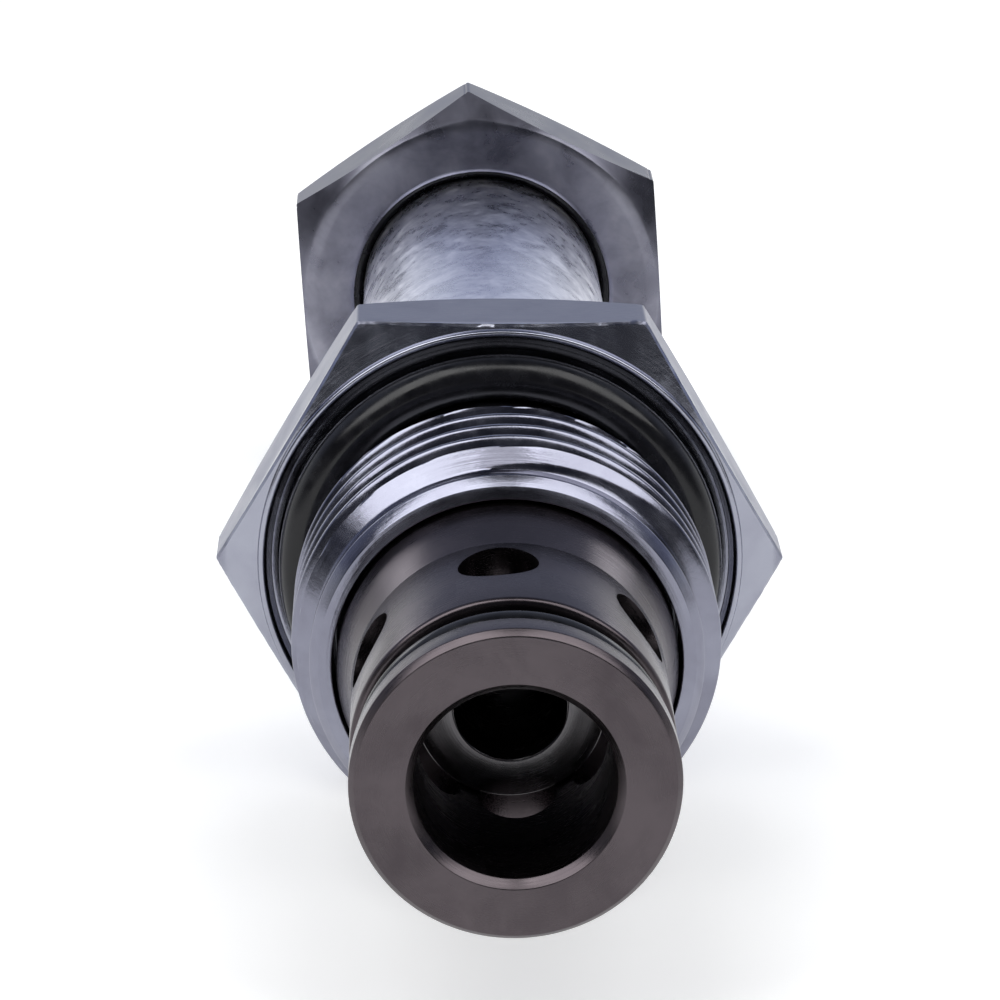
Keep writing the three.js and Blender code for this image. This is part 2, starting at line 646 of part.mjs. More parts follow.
function overrideGland() {
  const station = (OVERRIDE_START + OVERRIDE_END) / 2;
  const half = OVERRIDE_RING_SECTION + SEAL_GAP;
  return { station, half, floor: OVERRIDE_RADIUS - 2 * OVERRIDE_RING_SECTION - SEAL_GAP };
}

// The pin pushed by hand to shift the valve without current.
function makeOverridePin() {
  const gland = overrideGland();
  const geometry = turned([
    [0, PLUG_START + SEAT_GAP],
    [OVERRIDE_NOSE_RADIUS, PLUG_START + SEAT_GAP],
    [OVERRIDE_NOSE_RADIUS, OVERRIDE_START],
    [OVERRIDE_RADIUS, OVERRIDE_START],
    [OVERRIDE_RADIUS, gland.station - gland.half],
    [gland.floor, gland.station - gland.half],
    [gland.floor, gland.station + gland.half],
    [OVERRIDE_RADIUS, gland.station + gland.half],
    [OVERRIDE_RADIUS, OVERRIDE_END],
    [0, OVERRIDE_END],
  ]);
  return nodeMesh('override_pin', geometry, FINISHES.brass());
}

function makeOverrideRing() {
  const gland = overrideGland();
  const ringRadius = OVERRIDE_RADIUS - OVERRIDE_RING_SECTION;
  const geometry = roundRing(ringRadius, OVERRIDE_RING_SECTION, gland.station);
  return nodeMesh('override_o_ring', geometry, FINISHES.rubber());
}

function makeOverrideClip() {
  const outer = OVERRIDE_RADIUS + SLIDE_GAP + CLIP_GROOVE_DEPTH - SEAL_GAP;
  const geometry = openRing(outer - CLIP_WIDTH, outer, OVERRIDE_CLIP_START, CLIP_THICKNESS);
  return nodeMesh('override_clip', geometry, FINISHES.springSteel());
}

function baseRingRadius() {
  return TUBE_RADIUS + SEAL_GAP + BASE_RING_SECTION;
}

function baseGlandRadius() {
  return baseRingRadius() + BASE_RING_SECTION + SEAL_GAP;
}

// The seal round the foot of the tube. It lies in a gland, so that the coil seats on metal.
function makeBaseRing() {
  const station = BASE_GLAND_START + SEAL_GAP + BASE_RING_SECTION;
  const geometry = roundRing(baseRingRadius(), BASE_RING_SECTION, station);
  return nodeMesh('tube_base_o_ring', geometry, FINISHES.rubber());
}

function nutRingRadius() {
  return TUBE_RADIUS + SEAL_GAP + NUT_RING_SECTION;
}

// The hexagon nut that clamps the coil, with a gland for its seal in the front face.
function makeCoilNut() {
  const prism = hexagonPrism(NUT_FLATS, NUT_START, NUT_END, NUT_TURN);
  const outside = NUT_FLATS / Math.sqrt(3) + CUT_OVERSHOOT;
  const drop = (outside - NUT_CHAMFER_RADIUS) * CHAMFER_SLOPE;
  const envelope = turned([
    [0, NUT_START], [NUT_CHAMFER_RADIUS, NUT_START], [outside, NUT_START + drop],
    [outside, NUT_END - drop], [NUT_CHAMFER_RADIUS, NUT_END], [0, NUT_END],
  ]);
  const lip = TUBE_RADIUS + NUT_LIP_GAP;
  const gland = nutRingRadius() + NUT_RING_SECTION + TURN_GAP;
  const thread = TUBE_RADIUS + TURN_GAP;
  const bore = turned([
    [0, NUT_START - CUT_OVERSHOOT],
    [lip, NUT_START - CUT_OVERSHOOT],
    [lip, NUT_GLAND_START],
    [gland, NUT_GLAND_START],
    [gland, NUT_GLAND_END],
    [thread, NUT_GLAND_END],
    [thread, NUT_END + CUT_OVERSHOOT],
    [0, NUT_END + CUT_OVERSHOOT],
  ]);
  const nut = prism.intersect(solidOf(envelope)).subtract(solidOf(bore));
  return nodeMesh('coil_nut', geometryOf(nut), FINISHES.nutPlate());
}

function makeNutRing() {
  const station = (NUT_GLAND_START + NUT_GLAND_END) / 2;
  const geometry = roundRing(nutRingRadius(), NUT_RING_SECTION, station);
  return nodeMesh('coil_nut_o_ring', geometry, FINISHES.rubber());
}

// ---- assembly ----

function group(...children) {
  const made = new THREE.Group();
  made.add(...children);
  return made;
}

function assemble() {
  const cartridge = group(
    makeCage(), makeNoseRing(), makeLockRing(), makeValveBody(), makeBodyRing());
  const spoolSet = group(makeSpool(), makeSpring(), makeSpringWasher(), makeSpoolClip());
  const armatureSet = group(makeArmature(), makePushRod(), makeShim(), makeArmatureBand());
  const tubeSet = group(makePolePiece(), makeGuideTube(), makeEndPlug(), makeBaseRing());
  const overrideSet = group(makeOverridePin(), makeOverrideRing(), makeOverrideClip());
  const nutSet = group(makeCoilNut(), makeNutRing());
  const valve = group(cartridge, spoolSet, armatureSet, tubeSet, overrideSet, nutSet);
  valve.position.y = -PLUG_END / 2;
  return group(valve);
}

export default assemble();
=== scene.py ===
import math

import bmesh
import bpy
from mathutils import Matrix, Vector, noise


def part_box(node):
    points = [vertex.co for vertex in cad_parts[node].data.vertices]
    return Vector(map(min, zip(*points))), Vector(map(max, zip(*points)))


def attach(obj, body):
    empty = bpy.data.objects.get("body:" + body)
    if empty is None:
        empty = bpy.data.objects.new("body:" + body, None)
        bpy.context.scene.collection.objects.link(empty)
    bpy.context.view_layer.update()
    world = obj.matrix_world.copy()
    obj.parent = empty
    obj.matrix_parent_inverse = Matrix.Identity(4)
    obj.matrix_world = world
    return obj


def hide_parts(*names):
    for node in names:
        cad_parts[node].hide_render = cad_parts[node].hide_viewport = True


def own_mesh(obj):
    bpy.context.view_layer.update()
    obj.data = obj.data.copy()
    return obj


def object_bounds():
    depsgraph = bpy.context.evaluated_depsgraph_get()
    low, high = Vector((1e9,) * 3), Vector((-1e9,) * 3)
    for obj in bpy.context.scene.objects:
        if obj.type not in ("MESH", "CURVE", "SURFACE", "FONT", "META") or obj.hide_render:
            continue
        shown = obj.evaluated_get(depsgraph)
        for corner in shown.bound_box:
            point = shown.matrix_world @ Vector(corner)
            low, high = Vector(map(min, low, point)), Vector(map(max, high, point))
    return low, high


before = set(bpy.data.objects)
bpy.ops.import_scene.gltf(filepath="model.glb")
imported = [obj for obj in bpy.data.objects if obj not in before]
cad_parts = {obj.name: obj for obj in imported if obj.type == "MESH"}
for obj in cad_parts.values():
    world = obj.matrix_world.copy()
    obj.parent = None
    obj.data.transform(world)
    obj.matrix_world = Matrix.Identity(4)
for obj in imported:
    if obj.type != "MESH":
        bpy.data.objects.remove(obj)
cad_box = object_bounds()

# ---------------------------------------------------------------------------------------
# Cage. A steel sleeve turned from bar, oil-blacked to a warm brown grey. It carries the
# nose port and six drilled side ports, and snaps into the body on a wire ring.
# ---------------------------------------------------------------------------------------
MM = 0.001
nose_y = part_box("cage")[0].y
ROUND_STEPS = 240
MERGE_DISTANCE = 1e-7
SHARP_ANGLE = math.radians(32)


def arc_corner(before, corner, after, fillet, steps=4):
    """The corner of a profile, replaced by the points of a round of that radius."""
    corner = Vector(corner)
    to_before = Vector(before) - corner
    to_after = Vector(after) - corner
    half = to_before.angle(to_after) / 2
    room = 0.45 * min(to_before.length, to_after.length)
    reach = min(fillet / math.tan(half), room)
    radius = reach * math.tan(half)
    centre = corner + (to_before.normalized() + to_after.normalized()).normalized() * (
        radius / math.sin(half))
    start = corner + to_before.normalized() * reach - centre
    end = corner + to_after.normalized() * reach - centre
    return [tuple(centre + start.slerp(end, i / steps).normalized() * radius)
            for i in range(steps + 1)]


def rounded(profile, closed=True):
    """Rounds the corners of a profile of (radius, station, fillet) points, in millimetres."""
    count = len(profile)
    points = []
    for i, (radius, station, fillet) in enumerate(profile):
        inner = closed or 0 < i < count - 1
        if fillet and inner:
            before = profile[i - 1][:2]
            after = profile[(i + 1) % count][:2]
            points += arc_corner(before, (radius, station), after, fillet)
        else:
            points.append((radius, station))
    return points


def spun(profile, closed=True):
    """Spins a profile of (radius, station) points about the valve's axis.
    Stations are millimetres from the nose face."""
    bm = bmesh.new()
    verts = [bm.verts.new((0, nose_y + station * MM, radius * MM)) for radius, station in profile]
    pairs = list(zip(verts, verts[1:]))
    if closed:
        pairs.append((verts[-1], verts[0]))
    edges = [bm.edges.new(pair) for pair in pairs]
    bmesh.ops.spin(
        bm, geom=verts + edges, cent=(0, 0, 0), axis=(0, 1, 0), dvec=(0, 0, 0),
        angle=math.tau, steps=ROUND_STEPS, use_merge=True, use_duplicate=False)
    bmesh.ops.remove_doubles(bm, verts=bm.verts, dist=MERGE_DISTANCE)
    bmesh.ops.recalc_face_normals(bm, faces=bm.faces)
    return bm


def smooth_shaded(piece):
    """Shades a piece smooth, but keeps its real edges sharp."""
    piece.data.shade_smooth()
    piece.data.set_sharp_from_angle(angle=SHARP_ANGLE)


def object_from(bm, name):
    """Makes an object of a finished shape, at the origin and unturned."""
    mesh = bpy.data.meshes.new(name)
    bm.to_mesh(mesh)
    bm.free()
    made = bpy.data.objects.new(name, mesh)
    bpy.context.scene.collection.objects.link(made)
    return made


def piece_from(bm, name, material):
    """Makes the finished object of a piece, smooth shaded and with its material."""
    piece = object_from(bm, name)
    piece.data.materials.append(material)
    smooth_shaded(piece)
    return piece


def turned(name, material, profile, closed=True):
    """A turned piece, from (radius, station, fillet) points. The profile of a ring or sleeve
    closes on itself, and that of a solid piece starts and ends on the axis."""
    return piece_from(spun(rounded(profile, closed), closed), name, material)


def fit(piece, body, node):
    """Puts a piece on its body in place of a frame node."""
    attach(piece, body)
    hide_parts(node)


def drill(piece, cutters):
    """Cuts the cutters out of a piece and deletes them."""
    for cutter in cutters:
        cut = piece.modifiers.new("drill", "BOOLEAN")
        cut.operation = "DIFFERENCE"
        cut.solver = "EXACT"
        cut.object = cutter
    shaped = piece.evaluated_get(bpy.context.evaluated_depsgraph_get())
    mesh = bpy.data.meshes.new_from_object(shaped)
    piece.modifiers.clear()
    piece.data = mesh
    for cutter in cutters:
        bpy.data.objects.remove(cutter)


def new_metal(name, colour, roughness):
    """A bare metal material. Returns it with its tree, its shader and its coordinates."""
    material = bpy.data.materials.new(name)
    material.use_nodes = True
    tree = material.node_tree
    shader = tree.nodes["Principled BSDF"]
    shader.inputs["Base Color"].default_value = (*colour, 1)
    shader.inputs["Metallic"].default_value = 1.0
    shader.inputs["Roughness"].default_value = roughness
    coords = tree.nodes.new("ShaderNodeTexCoord").outputs["Object"]
    return material, tree, shader, coords


def math_node(tree, operation, *values):
    """One sum. A value is a number or the output of another node."""
    node = tree.nodes.new("ShaderNodeMath")
    node.operation = operation
    for socket, value in zip(node.inputs, values):
        if isinstance(value, (int, float)):
            socket.default_value = value
        else:
            tree.links.new(value, socket)
    return node.outputs[0]


def noise_node(tree, vector, scale, detail=3.0, rough=0.55, distortion=0.0):
    """A cloudy pattern from 0 to 1. Scale is in features for each metre."""
    node = tree.nodes.new("ShaderNodeTexNoise")
    node.inputs["Scale"].default_value = scale
    node.inputs["Detail"].default_value = detail
    node.inputs["Roughness"].default_value = rough
    node.inputs["Distortion"].default_value = distortion
    tree.links.new(vector, node.inputs["Vector"])
    return node.outputs["Fac"]


def ramp_node(tree, value, low, high, stops):
    """Spreads value from low..high over the coloured stops."""
    ranged = tree.nodes.new("ShaderNodeMapRange")
    ranged.inputs["From Min"].default_value = low
    ranged.inputs["From Max"].default_value = high
    tree.links.new(value, ranged.inputs["Value"])
    ramp = tree.nodes.new("ShaderNodeValToRGB")
    elements = ramp.color_ramp.elements
    while len(elements) < len(stops):
        elements.new(0.5)
    for element, (place, colour) in zip(elements, stops):
        element.position = place
        element.color = (*colour, 1)
    tree.links.new(ranged.outputs["Result"], ramp.inputs["Fac"])
    return ramp.outputs["Color"]


def range_node(tree, value, low, high, to_low, to_high):
    """Carries low..high over to to_low..to_high."""
    node = tree.nodes.new("ShaderNodeMapRange")
    limits = {"From Min": low, "From Max": high, "To Min": to_low, "To Max": to_high}
    for key, number in limits.items():
        node.inputs[key].default_value = number
    tree.links.new(value, node.inputs["Value"])
    return node.outputs["Result"]


def turning_vector(tree, coords, along_scale, round_scale):
    """Coordinates that run along the axis and out from it, so a pattern makes tool marks."""
    axes = tree.nodes.new("ShaderNodeSeparateXYZ")
    tree.links.new(coords, axes.inputs[0])
    square_x = math_node(tree, "MULTIPLY", axes.outputs["X"], axes.outputs["X"])
    square_z = math_node(tree, "MULTIPLY", axes.outputs["Z"], axes.outputs["Z"])
    radius = math_node(tree, "SQRT", math_node(tree, "ADD", square_x, square_z))
    turn = math_node(tree, "ARCTAN2", axes.outputs["X"], axes.outputs["Z"])
    joined = tree.nodes.new("ShaderNodeCombineXYZ")
    tree.links.new(math_node(tree, "MULTIPLY", axes.outputs["Y"], along_scale), joined.inputs["X"])
    tree.links.new(math_node(tree, "MULTIPLY", radius, along_scale), joined.inputs["Y"])
    tree.links.new(math_node(tree, "MULTIPLY", turn, round_scale), joined.inputs["Z"])
    return joined.outputs[0]


def bump_node(tree, height, distance, strength, before=None):
    """Turns a pattern into small unevenness, on top of the bump before it."""
    node = tree.nodes.new("ShaderNodeBump")
    node.inputs["Distance"].default_value = distance
    node.inputs["Strength"].default_value = strength
    tree.links.new(height, node.inputs["Height"])
    if before is not None:
        tree.links.new(before, node.inputs["Normal"])
    return node.outputs["Normal"]


def turned_steel(name, dark, light, roughness):
    """Turned steel: fine tool marks, a slow change of tone, and small oil stains."""
    material, tree, shader, coords = new_metal(name, light, roughness)
    tool_path = turning_vector(tree, coords, along_scale=14000, round_scale=0.6)
    marks = noise_node(tree, tool_path, scale=1.0, detail=2.0)
    stains = noise_node(tree, coords, scale=260, detail=4.0, rough=0.6, distortion=0.4)
    colour = ramp_node(tree, stains, 0.32, 0.68, [(0, dark), (1, light)])
    tree.links.new(colour, shader.inputs["Base Color"])
    stain_share = math_node(tree, "MULTIPLY", stains, 0.6)
    mark_share = math_node(tree, "MULTIPLY", marks, 0.4)
    worn = math_node(tree, "ADD", stain_share, mark_share)
    rough = range_node(tree, worn, 0.35, 0.65, roughness - 0.06, roughness + 0.08)
    tree.links.new(rough, shader.inputs["Roughness"])
    bump = bump_node(tree, marks, distance=0.00001, strength=0.25)
    tree.links.new(bump, shader.inputs["Normal"])
    return material


cage_radius = 7.94
cage_land = 8.735
cage_bore = 4.85
cage_length = 24.1
cone_start, cone_end = 12.4, 15.7
bore_chamfer, bore_chamfer_depth = 0.4, 0.45
nose_chamfer, nose_chamfer_depth = 0.3, 0.35
gland_start, gland_end, gland_floor = 1.85, 4.35, 5.93
port_radius, port_station, port_count = 2.0, 9.7, 6
port_turn = math.radians(-5)
port_drill_reach = 12
cage_steel = turned_steel(
    "cage_steel", dark=(0.064, 0.054, 0.059), light=(0.094, 0.08, 0.086), roughness=0.27)
cage = turned("cage_sleeve", cage_steel, [
    (cage_bore, bore_chamfer_depth, 0.1),
    (cage_bore + bore_chamfer, 0, 0.08),
    (cage_radius - nose_chamfer, 0, 0.12),
    (cage_radius, nose_chamfer_depth, 0.12),
    (cage_radius, gland_start, 0.22),
    (gland_floor, gland_start, 0.1),
    (gland_floor, gland_end, 0.1),
    (cage_radius, gland_end, 0.32),
    (cage_radius, cone_start, 0.6),
    (cage_land, cone_end, 0.3),
    (cage_land, cage_length, 0.1),
    (cage_bore, cage_length, 0.1),
])


def radial_cutter(radius, reach, station, turn):
    """A drill that starts on the axis and points outwards."""
    bm = bmesh.new()
    bmesh.ops.create_cone(
        bm, cap_ends=True, segments=48, radius1=radius * MM, radius2=radius * MM,
        depth=reach * MM)
    bmesh.ops.translate(bm, verts=bm.verts, vec=(0, nose_y + station * MM, reach * MM / 2))
    bmesh.ops.rotate(
        bm, verts=bm.verts, cent=(0, 0, 0), matrix=Matrix.Rotation(turn, 3, "Y"))
    return object_from(bm, "drill")


port_turns = [port_turn + i * math.tau / port_count for i in range(port_count)]
drill(cage, [
    radial_cutter(port_radius, port_drill_reach, port_station, turn) for turn in port_turns])
smooth_shaded(cage)
fit(cage, "valve", "cage")

# ---------------------------------------------------------------------------------------
# Nose seal. A moulded nitrile O-ring in the gland behind the nose. It lies a little below
# the sleeve's outside until the cavity squeezes it.
# ---------------------------------------------------------------------------------------


def rubber(name, roughness):
    """Black nitrile, slightly oily, with a faint mottle from the mould."""
    material, tree, shader, coords = new_metal(name, (0.006, 0.006, 0.008), roughness)
    shader.inputs["Metallic"].default_value = 0.0
    shader.inputs["Specular IOR Level"].default_value = 0.32
    mottle = noise_node(tree, coords, scale=900, detail=4.0)
    rough = range_node(tree, mottle, 0.3, 0.7, roughness - 0.08, roughness + 0.1)
    tree.links.new(rough, shader.inputs["Roughness"])
    colour = ramp_node(tree, mottle, 0.3, 0.7, [
        (0, (0.004, 0.004, 0.005)), (1, (0.009, 0.009, 0.011))])
    tree.links.new(colour, shader.inputs["Base Color"])
    bump = bump_node(tree, mottle, distance=0.00002, strength=0.2)
    tree.links.new(bump, shader.inputs["Normal"])
    return material


def o_ring(name, ring_radius, section, station, material):
    """A round ring with the thin flash line that the mould leaves on its outside."""
    flash = 0.025
    sides = 36
    profile = []
    for i in range(sides):
        angle = -math.tau * i / sides
        proud = flash if i == 0 else 0
        profile.append((
            ring_radius + (section + proud) * math.cos(angle),
            station - section * math.sin(angle)))
    return piece_from(spun(profile), name, material)


seal_rubber = rubber("seal_rubber", 0.2)
nose_ring = o_ring("nose_seal", ring_radius=6.87, section=0.88, station=3.1, material=seal_rubber)
fit(nose_ring, "valve", "nose_o_ring")

# ---------------------------------------------------------------------------------------
# Wire ring. A ring of spring wire that lies half in the sleeve and half in the body and
# holds the two together.
# ---------------------------------------------------------------------------------------
wire_steel = turned_steel(
    "wire_steel", dark=(0.09, 0.095, 0.105), light=(0.16, 0.165, 0.18), roughness=0.28)


def wire_ring(name, ring_radius, wire_radius, station, material, sides=24):
    """A plain ring of round section."""
    angles = [-math.tau * i / sides for i in range(sides)]
    profile = [(
        ring_radius + wire_radius * math.cos(angle),
        station - wire_radius * math.sin(angle)) for angle in angles]
    return piece_from(spun(profile), name, material)


lock_ring = wire_ring(
    "sleeve_wire_ring", ring_radius=8.8425, wire_radius=0.395, station=21.3, material=wire_steel)
fit(lock_ring, "valve", "cage_lock_ring")

# ---------------------------------------------------------------------------------------
# Spool. A hollow plunger, hardened and ground to slide in the sleeve. Three thin grooves keep
# it centred with oil, and two cross drillings bleed the chamber behind it.
# ---------------------------------------------------------------------------------------
spool_radius, spool_bore, spool_neck = 4.74, 2.8, 3.6
spool_front, spool_shoulder, spool_end = 10.3, 24.1, 33.45
bore_tip, bore_end = 29.25, 27.63
groove_depth, groove_width = 0.3, 0.4
clip_groove, clip_groove_start, clip_groove_end = 3.0, 32.1, 33.0
bleed_radius, bleed_station, bleed_drill_reach = 0.8, 26.68, 6
spool_steel = turned_steel(
    "spool_steel", dark=(0.1, 0.095, 0.1), light=(0.17, 0.165, 0.17), roughness=0.22)
spool_profile = [
    (0, bore_tip, 0), (spool_bore, bore_end, 0.2), (spool_bore, spool_front, 0.15),
    (spool_radius, spool_front, 0.06)]
for groove in (14.5, 17.5, 20.5):
    spool_profile += [
        (spool_radius, groove, 0.04), (spool_radius - groove_depth, groove, 0.05),
        (spool_radius - groove_depth, groove + groove_width, 0.05),
        (spool_radius, groove + groove_width, 0.04)]
spool_profile += [
    (spool_radius, spool_shoulder, 0.08), (spool_neck, spool_shoulder, 0.1),
    (spool_neck, clip_groove_start, 0.03), (clip_groove, clip_groove_start, 0.05),
    (clip_groove, clip_groove_end, 0.05), (spool_neck, clip_groove_end, 0.03),
    (spool_neck, spool_end, 0.1), (0, spool_end, 0)]
spool = turned("flow_spool", spool_steel, spool_profile, closed=False)
drill(spool, [
    radial_cutter(bleed_radius, bleed_drill_reach, bleed_station, math.radians(turn))
    for turn in (90, -90)])
smooth_shaded(spool)
fit(spool, "spool", "spool")

# ---------------------------------------------------------------------------------------
# Spool spring. Round spring wire wound with a closed coil at each end. It pushes the spool
# back from the nose, by way of a washer and a clip on the spool's neck.
# ---------------------------------------------------------------------------------------
spring_radius, wire_radius = 5.4, 0.44
closed_coil, open_coils = (1, 0.95), (2, 2.1)


def close_ends(bm):
    """Caps the two open ends of a swept section and turns its faces outwards."""
    ends = [edge for edge in bm.edges if edge.is_boundary]
    bmesh.ops.holes_fill(bm, edges=ends, sides=0)
    bmesh.ops.recalc_face_normals(bm, faces=bm.faces)
    return bm


def wound(ring_radius, wire, station, coils, sides=16, steps_per_turn=72):
    """Winds a round wire from a station. Each coil group is a (turns, pitch) pair."""
    bm = bmesh.new()
    centre = Vector((0, nose_y + station * MM, ring_radius * MM))
    verts = [bm.verts.new(centre + Vector((
        0, math.sin(math.tau * i / sides), math.cos(math.tau * i / sides))) * wire * MM)
        for i in range(sides)]
    geometry = verts + [bm.edges.new((verts[i - 1], verts[i])) for i in range(sides)]
    for turns, pitch in coils:
        swept = bmesh.ops.spin(
            bm, geom=geometry, cent=(0, 0, 0), axis=(0, 1, 0),
            dvec=(0, pitch * MM / steps_per_turn, 0), angle=math.tau * turns,
            steps=int(steps_per_turn * turns), use_merge=False, use_duplicate=False)
        geometry = swept["geom_last"]
    return close_ends(bm)


spring = piece_from(
    wound(spring_radius, wire_radius, 24.7, [closed_coil, open_coils, closed_coil]),
    "spool_return_spring", wire_steel)
fit(spring, "valve", "spool_spring")
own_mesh(spring)

ground_steel = turned_steel(
    "ground_steel", dark=(0.24, 0.24, 0.26), light=(0.36, 0.36, 0.38), roughness=0.24)


def ring_section(inner, outer, start, end, edge):
    """The section of a flat ring with slightly broken edges."""
    return [(inner, start, edge), (outer, start, edge), (outer, end, edge), (inner, end, edge)]


def ring_of(name, inner, outer, start, end, material, edge=0.08):
    """A plain turned ring."""
    return turned(name, material, ring_section(inner, outer, start, end, edge))


washer = ring_of(
    "spring_seat_washer", inner=3.7, outer=5.85, start=31.4, end=32.1, material=ground_steel)
fit(washer, "spool", "spring_washer")


def open_clip(name, inner, outer, start, end, material):
    """A retaining ring stamped from sheet, with its mouth at the top."""
    half_mouth = math.radians(35)
    bm = bmesh.new()
    outline = rounded(ring_section(inner, outer, start, end, edge=0.06))
    verts = [bm.verts.new((0, nose_y + station * MM, radius * MM)) for radius, station in outline]
    bmesh.ops.rotate(
        bm, verts=verts, cent=(0, 0, 0), matrix=Matrix.Rotation(half_mouth, 3, "Y"))
    edges = [bm.edges.new((verts[i - 1], verts[i])) for i in range(len(verts))]
    bmesh.ops.spin(
        bm, geom=verts + edges, cent=(0, 0, 0), axis=(0, 1, 0), dvec=(0, 0, 0),
        angle=math.tau - 2 * half_mouth, steps=96, use_merge=False, use_duplicate=False)
    return piece_from(close_ends(bm), name, material)


spool_clip = open_clip(
    "spool_neck_clip", inner=3.05, outer=4.34, start=32.25, end=32.85, material=wire_steel)
fit(spool_clip, "spool", "spool_clip")

# ---------------------------------------------------------------------------------------
# Valve body. One piece of steel, turned and milled: a 7/8-14 thread, an undercut, a dished
# seal seat with a raised rim, and a hexagon whose face leans back outside that rim. It is
# bright zinc plated all over.
# ---------------------------------------------------------------------------------------
body_start = 16.0
bore_radius, bore_floor = 8.95, 24.25
mouth_radius, shoulder_radius, shoulder_start = 9.65, 10.12, 16.55
thread_start, thread_end, thread_radius = 17.4, 25.5, 11.11
thread_depth, thread_pitch = 1.11, 1.814
lead_radius, lead_slope = 10.1, 1.15
undercut, undercut_start = 9.6, 27.4
hex_start, hex_end, hex_flats = 31.8, 37.0, 27.0
rim_radius, rim_top = 13.2, 31.5
seat_radius, seat_floor = 12.14, 32.2
hex_corner_round = 0.25
hex_corner_turn = math.radians(90)
hex_chamfer_radius = 13.42
chamfer_run = 1.73
edge_break = 0.14
face_inner = rim_radius + 0.08
face_lean = 0.27  # back for each millimetre outwards
tube_socket, tube_socket_start, core_bore = 8.0, 34.6, 6.45
CORNER_CROWDING = 0.62
CREST_FLAT = 0.08
FLANK_SHARE = 0.84
NICK_HEIGHT = 0.007
RING_SPACING = 0.1
BODY_STEPS = 372


def hexagon_radius(turn, flats, round_radius, corner_turn):
    """Distance from the axis to the side of a hexagon with slightly rounded corners."""
    from_corner = (turn - corner_turn + math.pi / 6) % (math.pi / 3) - math.pi / 6
    flat = flats / 2 / math.cos(math.pi / 6 - abs(from_corner))
    centre = (flats / 2 - round_radius) / math.cos(math.pi / 6)
    inside = round_radius ** 2 - (centre * math.sin(from_corner)) ** 2
    if inside <= 0:
        return flat
    return min(flat, centre * math.cos(from_corner) + math.sqrt(inside))


def crowd_corners(turn, corner_turn):
    """Moves steps round the piece closer together near the hexagon's corners."""
    return turn - CORNER_CROWDING * math.sin(6 * (turn - corner_turn)) / 6


def thread_fall(station, turn, pitch):
    """How far below its crest a right-hand thread is, from 0 to 1."""
    turns = station / pitch - turn / math.tau
    from_crest = 2 * abs(turns - round(turns))
    share = min(1, max(0, (from_crest - CREST_FLAT) / FLANK_SHARE))
    return share * share * (3 - 2 * share)


def ringed(rings, steps, corner_turn=None):
    """Spins one ring for each entry and then moves it to its own outline. An entry is a
    (radius, station) pair, or a function that gives one for a turn from the top. The last
    ring joins the first."""
    bm = bmesh.new()
    number = bm.verts.layers.int.new("ring")
    verts = []
    for n in range(len(rings)):
        vert = bm.verts.new((0, n * MM * RING_SPACING, 10 * MM + n * MM * RING_SPACING))
        vert[number] = n
        verts.append(vert)
    pairs = list(zip(verts, verts[1:])) + [(verts[-1], verts[0])]
    edges = [bm.edges.new(pair) for pair in pairs]
    bmesh.ops.spin(
        bm, geom=verts + edges, cent=(0, 0, 0), axis=(0, 1, 0), dvec=(0, 0, 0),
        angle=math.tau, steps=steps, use_merge=True, use_duplicate=False)
    for vert in bm.verts:
        turn = math.atan2(vert.co.x, vert.co.z)
        if corner_turn is not None:
            turn = crowd_corners(turn, corner_turn)
        ring = rings[vert[number]]
        radius, station = ring(turn) if callable(ring) else ring
        vert.co = Vector((
            radius * math.sin(turn), nose_y / MM + station, radius * math.cos(turn))) * MM
    bmesh.ops.remove_doubles(bm, verts=bm.verts, dist=MERGE_DISTANCE)
    bmesh.ops.recalc_face_normals(bm, faces=bm.faces)
    return bm


def shank_ring(station):
    """One ring of the threaded shank, with its lead at the front and its run-out behind."""
    lead = lead_radius + max(0.0, station - thread_start) * lead_slope
    tail = undercut + max(0.0, thread_end + thread_depth - station)
    blank = min(thread_radius, lead, tail)
    if station < thread_start:
        return (blank, station)

    def outline(turn):
        thread = thread_radius - thread_depth * thread_fall(station, turn, thread_pitch)
        nick = noise.noise(Vector((turn * 7, station * 1.6, 5))) * NICK_HEIGHT
        return (min(blank, thread) + nick, station)
    return outline


def face_station(radius):
    """Where the hexagon's front face is at a radius. It leans back towards its corners."""
    return hex_start + face_lean * (radius - face_inner)


def hexagon_face_ring(share):
    """One ring of the hexagon's front face, from the round rim out to the milled edge."""
    def outline(turn):
        side = hexagon_radius(turn, hex_flats, hex_corner_round, hex_corner_turn)
        radius = face_inner + (side - edge_break - face_inner) * share
        return (radius, face_station(radius))
    return outline


def worn_edge(turn, seed):
    """The small unevenness of a milled and tumbled edge."""
    broad = noise.noise(Vector((turn * 26, seed, 0)))
    fine = noise.noise(Vector((turn * 80, seed, 3)))
    return 0.07 * broad + 0.05 * fine


def chamfer_depth(side, chamfer_radius):
    """How far a hexagon's chamfer cuts in along the axis where its side is that far out."""
    return max(0, (side - chamfer_radius) / chamfer_run)


def hexagon_side_ring(share):
    """One ring of the hexagon's sides, from the front edge back to the rear chamfer."""
    def outline(turn):
        side = hexagon_radius(turn, hex_flats, hex_corner_round, hex_corner_turn)
        cut = chamfer_depth(side, hex_chamfer_radius)
        first = face_station(side) + edge_break + worn_edge(turn, 1)
        return (side, first + (hex_end - cut - first) * share)
    return outline


def hexagon_chamfer_ring(share):
    """One ring of the rear chamfer, which starts where the sides stop."""
    def outline(turn):
        side = hexagon_radius(turn, hex_flats, hex_corner_round, hex_corner_turn)
        cut = chamfer_depth(side, hex_chamfer_radius)
        return (side - cut * chamfer_run * share, hex_end - cut * (1 - share))
    return outline


